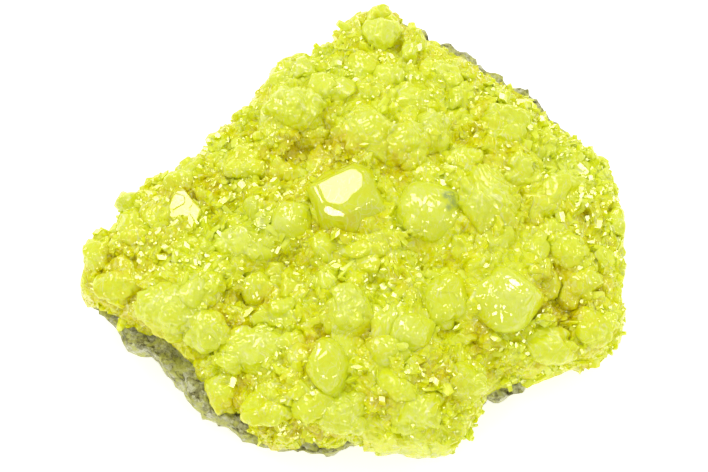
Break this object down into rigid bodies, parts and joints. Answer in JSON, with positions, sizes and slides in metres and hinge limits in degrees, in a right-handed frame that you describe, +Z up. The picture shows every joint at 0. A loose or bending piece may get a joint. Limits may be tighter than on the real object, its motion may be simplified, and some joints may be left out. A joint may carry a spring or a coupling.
{
  "type": "sulfur crystal specimen",
  "caption": "Natural mineral specimen: a crust of rounded yellow sulfur crystals on a broken plate of grey matrix rock, resting flat on its underside.",
  "frame": {"origin": "middle of the specimen's plan box, on the plane of the flat underside it rests on", "axes": "+X to the specimen's right (its longest extent), +Y to its back corner, +Z up through the crystals (its shortest extent)"},
  "size_m": [0.0826, 0.0738, 0.0205],
  "materials": {
    "grey_rock": "rough, broken, dusted with sulfur",
    "sulfur": "glossy, crystalline, translucent yellow",
    "pale_sulfur": "glossy, gemmy, translucent pale yellow"
  },
  "bodies": {
    "root": {"matrix_rock": "grey_rock", "sulfur_crust": "sulfur", "crystal_center": "pale_sulfur", "crystal_right_of_center": "pale_sulfur", "crystal_upper_cluster": "pale_sulfur", "crystal_upper_left": "pale_sulfur", "crystal_right": "pale_sulfur", "crystal_lower_right": "pale_sulfur", "crystal_beside_lower_right": "pale_sulfur", "crystal_lower_blocks": "pale_sulfur", "crystal_left_oval": "pale_sulfur", "crystal_lower_middle": "pale_sulfur", "crystal_front": "pale_sulfur", "crystal_front_right": "pale_sulfur", "crystal_left_plate": "pale_sulfur", "crystal_left_of_center": "pale_sulfur", "crystal_middle": "pale_sulfur", "crystal_upper_right": "pale_sulfur"}
  },
  "joints": []
}
